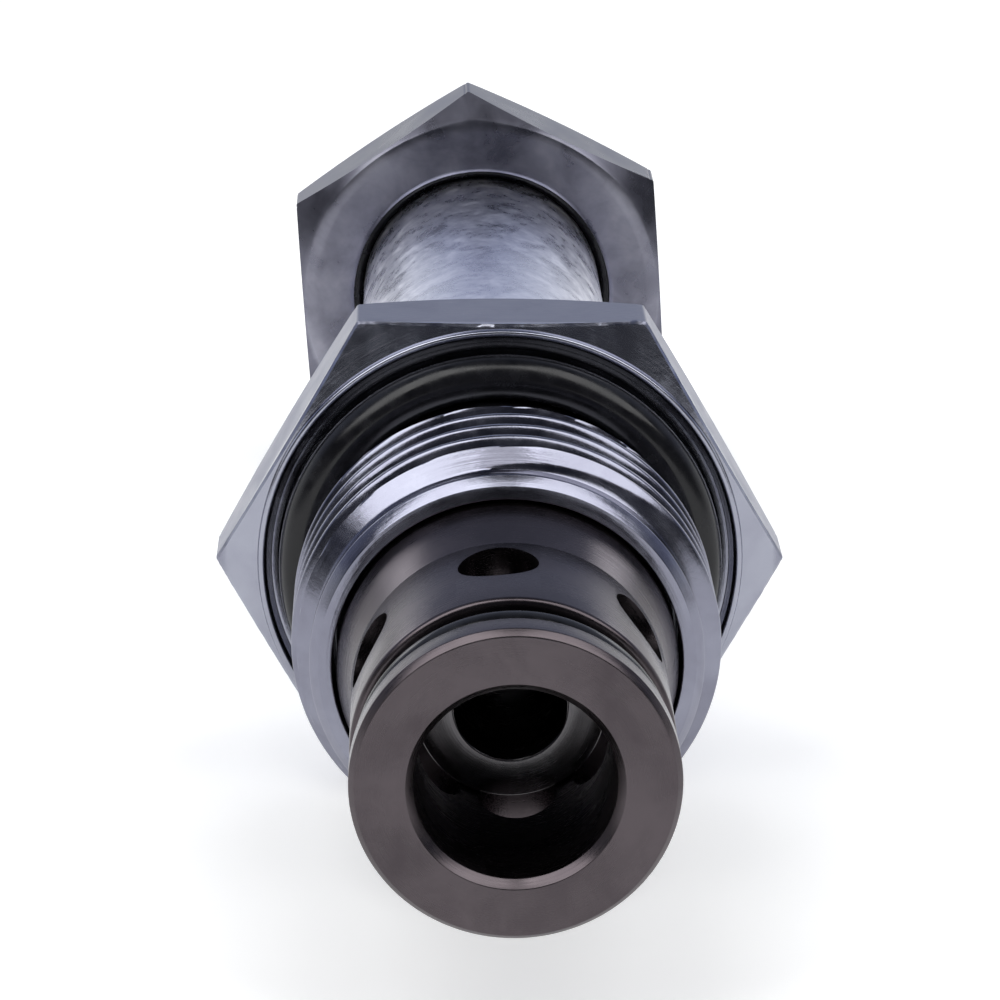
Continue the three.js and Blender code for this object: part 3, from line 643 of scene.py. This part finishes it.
thread_rings = 184
thread_from, thread_to = 16.9, thread_end + thread_depth + 0.1
face_rings, side_rings, chamfer_rings = 7, 10, 3
foot_gland_radius, foot_gland_start = 9.34, 35.5
body_rings = rounded([
    (bore_radius, bore_floor, 0), (bore_radius, body_start, 0.08),
    (mouth_radius, body_start, 0.06), (shoulder_radius, shoulder_start, 0.12),
    (shoulder_radius, thread_from, 0)], closed=False)
body_rings += [
    shank_ring(thread_from + (thread_to - thread_from) * i / thread_rings)
    for i in range(1, thread_rings + 1)]
body_rings += rounded([
    (undercut, undercut_start, 0), (undercut, seat_floor, 0.3), (seat_radius, seat_floor, 0.1),
    (seat_radius, 31.97, 0.05), (12.5, 31.93, 0), (12.53, 31.89, 0), (12.82, 31.82, 0.08),
    (12.88, rim_top, 0.14), (rim_radius, rim_top, 0.14), (face_inner, hex_start, 0.04)],
    closed=False)
body_rings += [hexagon_face_ring((i / face_rings) ** 0.8) for i in range(1, face_rings + 1)]
body_rings += [hexagon_side_ring(i / side_rings) for i in range(side_rings + 1)]
body_rings += [hexagon_chamfer_ring(i / chamfer_rings) for i in range(1, chamfer_rings + 1)]
body_rings += [
    (13.2, hex_end), (11, hex_end), (foot_gland_radius + 0.08, hex_end),
    (foot_gland_radius, hex_end - 0.08), (foot_gland_radius, foot_gland_start),
    (tube_socket, foot_gland_start), (tube_socket, tube_socket_start),
    (core_bore, tube_socket_start), (core_bore, bore_floor)]


def zinc_plate(name):
    """Bright zinc on steel: bluish, mirror-like where turned, speckled where milled. The threaded
    shank in front of the hexagon is painted darker, a painted shade for the dark seal and shaded
    floor it reflects."""
    material, tree, shader, coords = new_metal(name, (0.34, 0.35, 0.41), 0.2)
    tool_path = turning_vector(tree, coords, along_scale=5200, round_scale=0.4)
    marks = noise_node(tree, tool_path, scale=1.0, detail=2.0)
    speckle = noise_node(tree, coords, scale=1900, detail=5.0, rough=0.7)
    blotch = noise_node(tree, coords, scale=380, detail=4.0, rough=0.6, distortion=0.5)
    axes = tree.nodes.new("ShaderNodeSeparateXYZ")
    tree.links.new(coords, axes.inputs[0])
    shank_end = nose_y + 27.5 * MM
    # Painted shade: the shank in front of shank_end gets the darker end of the colour ramp,
    # standing in for the dark reflections of the seal and the shaded floor.
    behind = range_node(tree, axes.outputs["Y"], shank_end - 2 * MM, shank_end, 0.0, 1.0)
    blotch_share = math_node(tree, "MULTIPLY", blotch, 0.5)
    shank_shade_step = math_node(tree, "MULTIPLY", behind, 0.5)
    tone = math_node(tree, "ADD", blotch_share, shank_shade_step)
    side_start = nose_y + (hex_start + 0.45) * MM
    milled = range_node(tree, axes.outputs["Y"], side_start, side_start + 0.15 * MM, 0.0, 1.0)
    tone = math_node(tree, "SUBTRACT", tone, math_node(tree, "MULTIPLY", milled, 0.4))
    sparkle = range_node(tree, speckle, 0.62, 0.72, 0.0, 0.22)
    tone = math_node(tree, "ADD", tone, math_node(tree, "MULTIPLY", milled, sparkle))
    colour = ramp_node(tree, tone, 0.12, 0.88, [
        (0, (0.17, 0.17, 0.215)), (0.3, (0.24, 0.245, 0.3)), (0.62, (0.26, 0.265, 0.32)),
        (1, (0.35, 0.36, 0.42))])
    tree.links.new(colour, shader.inputs["Base Color"])
    plain_rough = range_node(tree, blotch, 0.35, 0.65, 0.13, 0.25)
    milled_rough = math_node(tree, "MULTIPLY", milled, 0.16)
    rough = math_node(tree, "ADD", plain_rough, milled_rough)
    tree.links.new(rough, shader.inputs["Roughness"])
    tool_bump = bump_node(tree, marks, distance=0.000016, strength=0.4)
    bump = bump_node(tree, speckle, distance=0.00002, strength=0.35, before=tool_bump)
    tree.links.new(bump, shader.inputs["Normal"])
    return material


body_zinc = zinc_plate("body_zinc")
valve_body = piece_from(
    ringed(body_rings, BODY_STEPS, hex_corner_turn), "threaded_body", body_zinc)
fit(valve_body, "valve", "valve_body")

# ---------------------------------------------------------------------------------------
# Body seal. The large O-ring that seals the cavity's mouth, seated in the dish in front of
# the hexagon.
# ---------------------------------------------------------------------------------------
body_ring = o_ring(
    "body_seal", ring_radius=10.86, section=1.2, station=30.94, material=seal_rubber)
fit(body_ring, "valve", "body_o_ring")

# ---------------------------------------------------------------------------------------
# Pole and armature. Soft magnetic iron, turned and ground. The pole is fixed in the tube's
# foot; the armature slides behind it on a slippery band and works the spool through a rod.
# ---------------------------------------------------------------------------------------
pole = ring_of(
    "fixed_pole", inner=1.65, outer=7.13, start=34.76, end=58.25, material=ground_steel, edge=0.2)
fit(pole, "valve", "pole_piece")
rod_radius, rod_start, rod_end = 1.54, 33.6, 65.7
rod_steel = turned_steel(
    "rod_steel", dark=(0.38, 0.38, 0.4), light=(0.5, 0.5, 0.52), roughness=0.16)
rod = turned("armature_rod", rod_steel, [
    (0, rod_start, 0), (rod_radius, rod_start, 0.3), (rod_radius, rod_end, 0.3),
    (0, rod_end, 0)], closed=False)
fit(rod, "armature", "push_rod")
brass_metal = turned_steel(
    "brass_metal", dark=(0.5, 0.34, 0.13), light=(0.66, 0.46, 0.2), roughness=0.2)
shim = ring_of(
    "anti_stick_shim", inner=1.62, outer=4.6, start=61.4, end=61.7, material=brass_metal,
    edge=0.04)
fit(shim, "armature", "armature_shim")
armature_radius, armature_start, armature_end = 6.95, 61.85, 79.85
rod_hole, rod_hole_end = 1.61, 65.85
band_groove, band_groove_start, band_groove_end = 6.55, 74.4, 76.9
pin_hole, pin_hole_start = 1.7, 74.85
vent_radius, vent_distance, vent_from, vent_to = 0.9, 4.7, 60.9, 80.9
armature = turned("moving_armature", ground_steel, [
    (0, rod_hole_end, 0), (rod_hole, rod_hole_end, 0.05), (rod_hole, armature_start, 0.05),
    (armature_radius, armature_start, 0.3), (armature_radius, band_groove_start, 0.05),
    (band_groove, band_groove_start, 0.05), (band_groove, band_groove_end, 0.05),
    (armature_radius, band_groove_end, 0.05), (armature_radius, armature_end, 0.3),
    (pin_hole, armature_end, 0.1), (pin_hole, pin_hole_start, 0.1), (0, pin_hole_start, 0)],
    closed=False)


def axial_cutter(radius, start, end, distance, turn):
    """A drill that runs along the axis, at a distance and an angle from the top."""
    bm = bmesh.new()
    bmesh.ops.create_cone(
        bm, cap_ends=True, segments=40, radius1=radius * MM, radius2=radius * MM,
        depth=(end - start) * MM)
    bmesh.ops.rotate(
        bm, verts=bm.verts, cent=(0, 0, 0), matrix=Matrix.Rotation(math.pi / 2, 3, "X"))
    bmesh.ops.translate(bm, verts=bm.verts, vec=(
        distance * MM * math.sin(turn), nose_y + (start + end) / 2 * MM,
        distance * MM * math.cos(turn)))
    return object_from(bm, "drill")


drill(armature, [
    axial_cutter(vent_radius, vent_from, vent_to, vent_distance, math.radians(turn))
    for turn in (90, -90)])
smooth_shaded(armature)
fit(armature, "armature", "armature")


def slippery_plastic(name):
    """Filled bearing plastic: ivory, matt, with a fine speckle of filler."""
    material, tree, shader, coords = new_metal(name, (0.62, 0.58, 0.47), 0.55)
    shader.inputs["Metallic"].default_value = 0.0
    speckle = noise_node(tree, coords, scale=2600)
    colour = ramp_node(tree, speckle, 0.35, 0.65, [
        (0, (0.52, 0.48, 0.38)), (1, (0.68, 0.64, 0.53))])
    tree.links.new(colour, shader.inputs["Base Color"])
    bump = bump_node(tree, speckle, distance=0.00001, strength=0.2)
    tree.links.new(bump, shader.inputs["Normal"])
    return material


band_plastic = slippery_plastic("band_plastic")
band = ring_of(
    "armature_bearing_band", inner=6.61, outer=7.1, start=74.46, end=76.84,
    material=band_plastic, edge=0.04)
fit(band, "armature", "armature_band")

# ---------------------------------------------------------------------------------------
# Guide tube. Drawn stainless tube, thinly plated, that the coil slides over. Handling and
# plating leave it bright and mottled.
# ---------------------------------------------------------------------------------------


def mottled_plate(name):
    """Thin bright plate with a cloudy mottle and fine pale flecks."""
    material, tree, shader, coords = new_metal(name, (0.6, 0.6, 0.68), 0.25)
    flakes = noise_node(tree, coords, scale=430, detail=6.0, rough=0.66, distortion=0.5)
    flecks = noise_node(tree, coords, scale=1500, detail=5.0, rough=0.6)
    flake_share = math_node(tree, "MULTIPLY", flakes, 0.72)
    fleck_share = math_node(tree, "MULTIPLY", flecks, 0.28)
    mix = math_node(tree, "ADD", flake_share, fleck_share)
    colour = ramp_node(tree, mix, 0.38, 0.62, [
        (0, (0.5, 0.51, 0.6)), (0.4, (0.64, 0.65, 0.74)), (1, (0.9, 0.9, 0.96))])
    tree.links.new(colour, shader.inputs["Base Color"])
    tree.links.new(range_node(tree, mix, 0.35, 0.65, 0.22, 0.38), shader.inputs["Roughness"])
    bump = bump_node(tree, mix, distance=0.00002, strength=0.12)
    tree.links.new(bump, shader.inputs["Normal"])
    return material


tube_radius, tube_inside = 7.94, 7.2
tube_plate = mottled_plate("tube_plate")
tube_low, tube_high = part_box("guide_tube")
tube_start = (tube_low.y - nose_y) / MM
tube_end = (tube_high.y - nose_y) / MM
tube_rings = 24
tube_profile = [(tube_inside, tube_start)]
tube_profile += [
    (tube_radius, tube_start + (tube_end - tube_start) * i / tube_rings)
    for i in range(tube_rings + 1)]
tube_profile += [(tube_inside, tube_end)]
tube = piece_from(spun(tube_profile), "armature_tube", tube_plate)
fit(tube, "valve", "guide_tube")

# ---------------------------------------------------------------------------------------
# Tube foot seal. An O-ring in a gland round the foot of the tube. It keeps water out of the
# coil and lies below the face that the coil seats on.
# ---------------------------------------------------------------------------------------
base_ring = o_ring(
    "tube_foot_seal", ring_radius=8.64, section=0.64, station=36.2, material=seal_rubber)
fit(base_ring, "valve", "tube_base_o_ring")

# ---------------------------------------------------------------------------------------
# End plug. A steel plug pressed into the tube and welded, with a threaded stub for the coil
# nut and a bore down its middle for the override pin.
# ---------------------------------------------------------------------------------------
stub_radius, stub_depth, stub_pitch = 7.94, 0.8, 1.411
stub_start, plug_end, stub_lead = 87.2, 91.6, 0.5
plug_start, plug_radius = 80.15, 7.14
pin_bore, pin_bore_start = 1.55, 82.9
seal_bore, mouth_break = 3.0, 0.12
snap_groove, snap_groove_start, snap_groove_end = 3.6, 89.95, 90.75
stub_ring_count = 64


def stub_ring(station):
    """One ring of the threaded stub, with its chamfered end."""
    blank = min(stub_radius, stub_radius - stub_lead + (plug_end - station))

    def outline(turn):
        if station < stub_start + stub_lead:
            return (blank, station)
        fall = thread_fall(station, turn, stub_pitch)
        return (min(blank, stub_radius - stub_depth * fall), station)
    return outline


plug_rings = [
    (pin_bore, plug_start), (plug_radius - 0.04, plug_start), (plug_radius, plug_start + 0.05),
    (plug_radius, stub_start)]
plug_rings += [
    stub_ring(stub_start + (plug_end - stub_start) * i / stub_ring_count)
    for i in range(stub_ring_count + 1)]
plug_rings += [
    (6.9, plug_end), (5.0, plug_end), (seal_bore + mouth_break, plug_end),
    (seal_bore, plug_end - mouth_break), (seal_bore, snap_groove_end),
    (snap_groove, snap_groove_end), (snap_groove, snap_groove_start),
    (seal_bore, snap_groove_start), (seal_bore, pin_bore_start), (pin_bore, pin_bore_start)]
plug_steel = turned_steel(
    "plug_steel", dark=(0.3, 0.3, 0.35), light=(0.42, 0.42, 0.48), roughness=0.24)
end_plug = piece_from(ringed(plug_rings, ROUND_STEPS), "tube_end_plug", plug_steel)
fit(end_plug, "valve", "end_plug")

# ---------------------------------------------------------------------------------------
# Manual override. A brass pin in the plug's bore, sealed by a small O-ring and held in by a
# retaining ring. Pushed in, it works the real valve without current.
# ---------------------------------------------------------------------------------------
pin_radius, pin_start = 1.45, 80.3
head_radius, head_start, head_end = 2.9, 86.25, 89.85
pin_gland, pin_gland_start, pin_gland_end = 1.85, 87.5, 88.6
dimple_radius, dimple_floor = 1.1, 89.45
pin = turned("override_plunger", brass_metal, [
    (0, pin_start, 0), (pin_radius, pin_start, 0.25), (pin_radius, head_start, 0.1),
    (head_radius, head_start, 0.15), (head_radius, pin_gland_start, 0.05),
    (pin_gland, pin_gland_start, 0.08), (pin_gland, pin_gland_end, 0.08),
    (head_radius, pin_gland_end, 0.05), (head_radius, head_end, 0.2),
    (dimple_radius, head_end, 0.05), (0, dimple_floor, 0)], closed=False)
fit(pin, "override", "override_pin")
pin_seal = wire_ring(
    "override_seal", ring_radius=2.4, wire_radius=0.49, station=88.05, material=seal_rubber)
fit(pin_seal, "override", "override_o_ring")
pin_clip = open_clip(
    "override_retaining_ring", inner=2.25, outer=3.54, start=90.0, end=90.6,
    material=wire_steel)
fit(pin_clip, "valve", "override_clip")

# ---------------------------------------------------------------------------------------
# Coil nut. A flat hexagon nut, chamfered on both faces, in dull zinc. Its near face has a
# gland for the seal that grips the tube.
# ---------------------------------------------------------------------------------------
nut_low, nut_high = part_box("coil_nut")
nut_start = (nut_low.y - nose_y) / MM
nut_end = (nut_high.y - nose_y) / MM
nut_flats, nut_corner_round = 24.0, 0.2
nut_corner = math.radians(-4)
nut_face_radius, nut_ledge = 11.8, 11.0
nut_bore = 7.97
lip_radius, nut_gland = 8.56, 9.45
nut_side_rings, nut_chamfer_rings = 12, 5
NUT_STEPS = 420


def nut_chamfer_ring(share, front):
    """One ring of a chamfer, from the flat face out to where the side starts."""
    def outline(turn):
        side = hexagon_radius(turn, nut_flats, nut_corner_round, nut_corner)
        depth = chamfer_depth(side, nut_face_radius) * share
        radius = nut_face_radius + (side - nut_face_radius) * share
        return (radius, nut_start + depth if front else nut_end - depth)
    return outline


def nut_side_ring(share):
    """One ring of the flats, from the far chamfer to the near one."""
    def outline(turn):
        side = hexagon_radius(turn, nut_flats, nut_corner_round, nut_corner)
        cut = chamfer_depth(side, nut_face_radius)
        return (side, nut_end - cut - (nut_end - nut_start - 2 * cut) * share)
    return outline


nut_shares = [i / nut_chamfer_rings for i in range(nut_chamfer_rings + 1)]
nut_rings = [(nut_bore, nut_end - 0.34), (8.3, nut_end), (nut_ledge, nut_end)]
nut_rings += [nut_chamfer_ring(share, False) for share in nut_shares]
nut_rings += [nut_side_ring(i / nut_side_rings) for i in range(1, nut_side_rings)]
nut_rings += [nut_chamfer_ring(share, True) for share in reversed(nut_shares)]
nut_rings += [
    (nut_ledge, nut_start), (8.9, nut_start), (8.72, nut_start + 0.03),
    (8.6, nut_start + 0.12), (lip_radius, nut_start + 0.45), (nut_gland, nut_start + 0.47),
    (nut_gland, nut_start + 2.05), (nut_bore, nut_start + 2.07)]


def dull_plate(name):
    """Dull zinc: smooth and purplish on the faces, darker and rougher on the milled flats."""
    material, tree, shader, coords = new_metal(name, (0.26, 0.26, 0.31), 0.28)
    tool_path = turning_vector(tree, coords, along_scale=7000, round_scale=0.5)
    marks = noise_node(tree, tool_path, scale=1.0, detail=2.0)
    cloud = noise_node(tree, coords, scale=300, detail=4.0, distortion=0.3)
    axes = tree.nodes.new("ShaderNodeSeparateXYZ")
    tree.links.new(coords, axes.inputs[0])
    side_start = nose_y + (nut_start + 0.06) * MM
    milled = range_node(tree, axes.outputs["Y"], side_start, side_start + 0.2 * MM, 0.0, 1.0)
    tone = math_node(tree, "SUBTRACT", cloud, math_node(tree, "MULTIPLY", milled, 0.3))
    colour = ramp_node(tree, tone, 0.1, 0.7, [
        (0, (0.12, 0.12, 0.15)), (0.5, (0.17, 0.17, 0.21)), (1, (0.3, 0.3, 0.35))])
    tree.links.new(colour, shader.inputs["Base Color"])
    tree.links.new(range_node(tree, cloud, 0.3, 0.7, 0.24, 0.36), shader.inputs["Roughness"])
    bump = bump_node(tree, marks, distance=0.000008, strength=0.2)
    tree.links.new(bump, shader.inputs["Normal"])
    return material


nut_plate = dull_plate("nut_plate")
coil_nut = piece_from(ringed(nut_rings, NUT_STEPS, nut_corner), "coil_nut_hexagon", nut_plate)
fit(coil_nut, "coil_nut", "coil_nut")
nut_ring = o_ring(
    "coil_nut_seal", ring_radius=8.59, section=0.64, station=nut_start + 1.25,
    material=seal_rubber)
fit(nut_ring, "nut_seal", "coil_nut_o_ring")

# ---------------------------------------------------------------------------------------
# Floor, lights and camera. A plain pale floor just under the valve, soft boxes in front and
# behind, a room that is brighter behind the valve, and a camera that looks at the nose from
# a little above.
# ---------------------------------------------------------------------------------------
floor_gap, floor_reach = 0.0001, 3.0
floor_z = cad_box[0][2] - floor_gap
floor_shape = bmesh.new()
bmesh.ops.create_grid(floor_shape, x_segments=1, y_segments=1, size=floor_reach)
bmesh.ops.translate(floor_shape, verts=floor_shape.verts, vec=(0, 0, floor_z))
floor = object_from(floor_shape, "floor")
floor_paint = bpy.data.materials.new("floor_paint")
floor_paint.use_nodes = True
floor_shader = floor_paint.node_tree.nodes["Principled BSDF"]
floor_shader.inputs["Base Color"].default_value = (0.9, 0.9, 0.88, 1)
floor_shader.inputs["Roughness"].default_value = 0.9
floor_shader.inputs["Emission Color"].default_value = (1.0, 0.99, 0.97, 1)
floor_shader.inputs["Emission Strength"].default_value = 0.36
floor.data.materials.append(floor_paint)


def soft_box(name, place, width, height, watts):
    """A rectangular soft light at a place, turned to the middle of the valve."""
    data = bpy.data.lights.new(name, "AREA")
    data.shape = "RECTANGLE"
    data.size = width
    data.size_y = height
    data.energy = watts
    light = bpy.data.objects.new(name, data)
    light.location = place
    aim = Vector((0, 0, 0)) - Vector(place)
    light.rotation_euler = aim.to_track_quat("-Z", "Y").to_euler()
    bpy.context.scene.collection.objects.link(light)


soft_box("left_softbox", (-0.46, -0.32, 0.72), width=0.5, height=0.8, watts=4.6)
soft_box("right_softbox", (0.46, -0.32, 0.72), width=0.5, height=0.8, watts=4.0)
soft_box("front_softbox", (0, -0.36, 0.86), width=0.42, height=0.3, watts=0.75)
soft_box("left_rear_softbox", (-0.6, 0.72, 0.34), width=0.26, height=0.26, watts=0.62)
soft_box("right_rear_softbox", (0.6, 0.72, 0.34), width=0.26, height=0.26, watts=0.5)
world = bpy.data.worlds.new("studio")
world.use_nodes = True
world_tree = world.node_tree
outward = world_tree.nodes.new("ShaderNodeTexCoord").outputs["Generated"]
direction = world_tree.nodes.new("ShaderNodeSeparateXYZ")
world_tree.links.new(outward, direction.inputs[0])
room = ramp_node(world_tree, direction.outputs["Z"], 0, 1, [
    (0, (1.0, 1.0, 1.0)), (0.16, (0.9, 0.94, 1.0)), (0.28, (0.4, 0.44, 0.6)),
    (0.5, (0.36, 0.4, 0.54)), (0.76, (0.32, 0.36, 0.48)), (0.93, (0.05, 0.06, 0.09))])
background = world_tree.nodes["Background"]
world_tree.links.new(room, background.inputs["Color"])
behind_is_brighter = range_node(world_tree, direction.outputs["Y"], -0.3, 0.2, 0.1, 1.0)
world_tree.links.new(behind_is_brighter, background.inputs["Strength"])
bpy.context.scene.world = world
bpy.context.scene.view_settings.view_transform = "Standard"

view_distance = Vector((0.757, 13.604, 188.81)) * MM
tilt, swing = math.radians(18.74), math.radians(-1.41)
along = Vector((
    math.sin(swing) * math.cos(tilt), -math.sin(tilt), math.cos(tilt) * math.cos(swing)))
sideways = Vector((0, 1, 0)).cross(along).normalized()
downwards = along.cross(sideways)


def from_camera(offset):
    """Turns an offset in the camera's axes into the valve's axes."""
    return Vector((offset.dot(sideways), offset.dot(along), -offset.dot(downwards)))


camera_data = bpy.data.cameras.new("camera")
camera_data.sensor_width = 36
camera_data.lens = 144
camera_data.clip_start = 0.01
camera = bpy.data.objects.new("camera", camera_data)
right = from_camera(Vector((1, 0, 0)))
up = from_camera(Vector((0, -1, 0)))
back = from_camera(Vector((0, 0, -1)))
place = Vector((0, nose_y, 0)) - from_camera(view_distance)
camera.matrix_world = Matrix((
    (right.x, up.x, back.x, place.x),
    (right.y, up.y, back.y, place.y),
    (right.z, up.z, back.z, place.z),
    (0, 0, 0, 1)))
bpy.context.scene.collection.objects.link(camera)
bpy.context.scene.camera = camera
